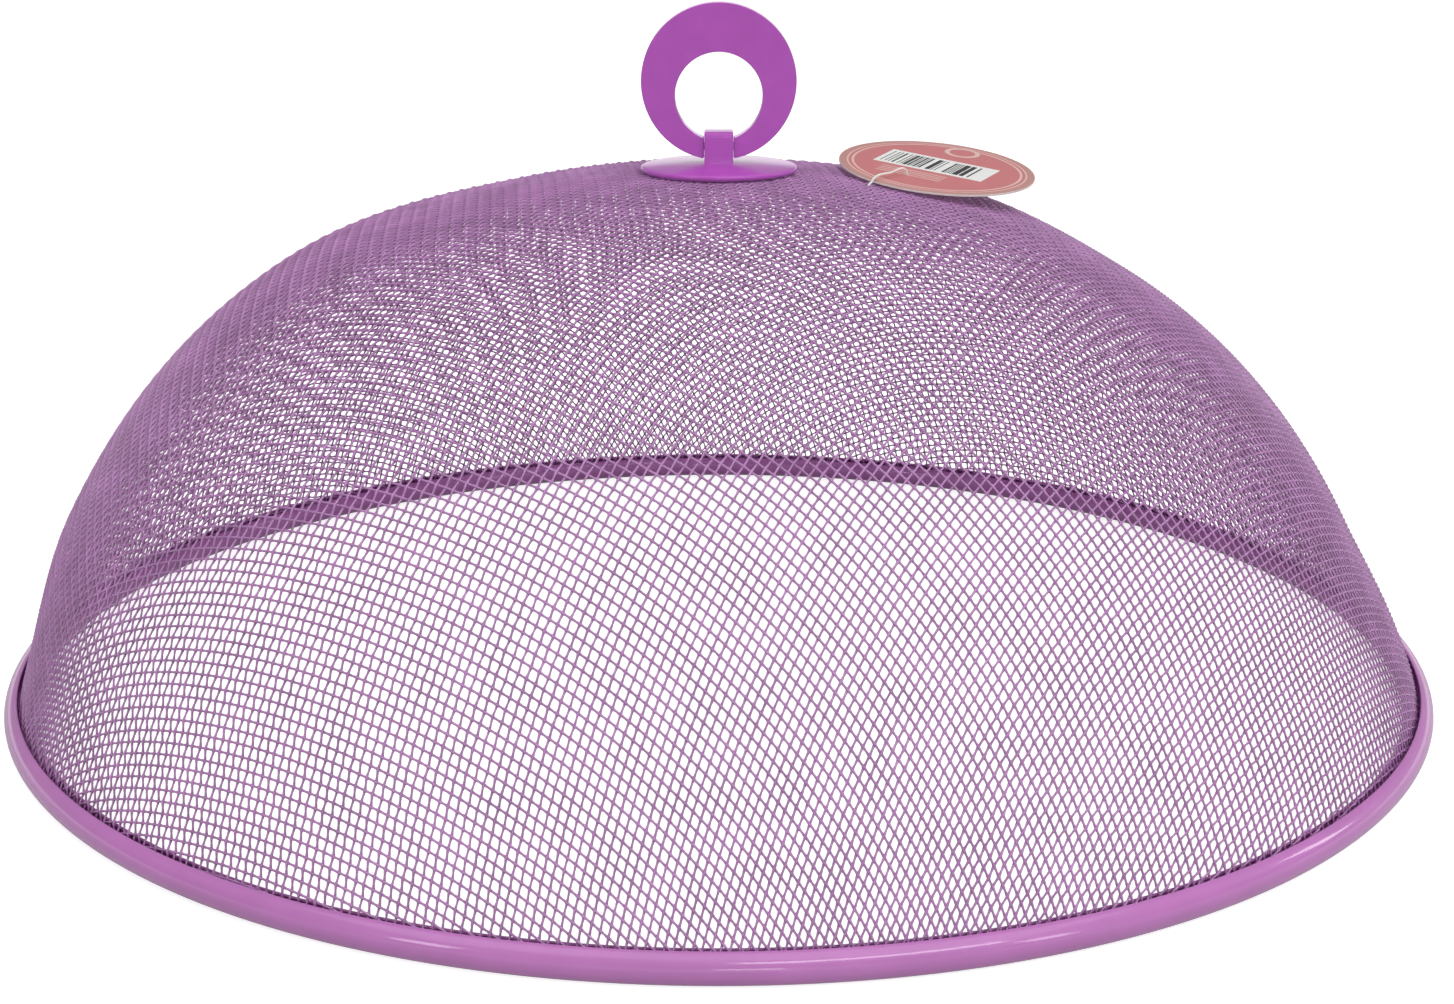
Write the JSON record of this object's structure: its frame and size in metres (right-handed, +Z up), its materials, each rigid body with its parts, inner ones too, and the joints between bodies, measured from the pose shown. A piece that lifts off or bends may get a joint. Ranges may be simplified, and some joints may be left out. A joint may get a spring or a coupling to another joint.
{
  "type": "dome mesh food cover",
  "caption": "Round wire cloth dome in a rolled rim hoop, with a folding crescent pull ring on a moulded base and a round card hang tag",
  "frame": {"origin": "centre of the circle that the rim hoop stands on, on the table", "axes": "+Z up through the crown; the pull ring's plane faces -Y and its pin lies along X; the hang tag is on the +X side"},
  "size_m": [0.355, 0.355, 0.1666],
  "materials": {
    "coated_wire": "epoxy coated steel wire cloth, semi-gloss; see-through because it is open weave",
    "enamelled_steel": "gloss enamel on rolled steel strip",
    "base_plastic": "moulded ABS, gloss",
    "ring_plastic": "moulded ABS, satin gloss",
    "pin_steel": "drawn steel pin",
    "screw_steel": "zinc plated",
    "tag_card": "printed coated card",
    "nylon": "moulded nylon, translucent white"
  },
  "bodies": {
    "cover": {"mesh_dome": "coated_wire", "rim_hoop": "enamelled_steel", "handle_base": "base_plastic", "hinge_pin": "pin_steel", "backing_disc": "base_plastic", "handle_screw": "screw_steel"},
    "ring": {"pull_ring": "ring_plastic"},
    "tag_pin": {"tag_fastener": "nylon"},
    "tag": {"hang_tag": "tag_card"}
  },
  "joints": [
    {"name": "ring_fold", "type": "hinge", "parent": "cover", "child": "ring", "pos_m": [0, 0, 0.1323], "axis": [1, 0, 0], "range_deg": [-95, 95]},
    {"name": "tag_lift", "type": "hinge", "parent": "cover", "child": "tag_pin", "pos_m": [0.03525, -0.01123, 0.1224], "axis": [0.7349, -0.668, -0.1174], "range_deg": [0, 55]},
    {"name": "tag_turn", "type": "hinge", "parent": "tag_pin", "child": "tag", "pos_m": [0.04584, -0.00009, 0.12529], "axis": [0.0785, -0.1232, 0.9893], "range_deg": [-20, 20]}
  ]
}
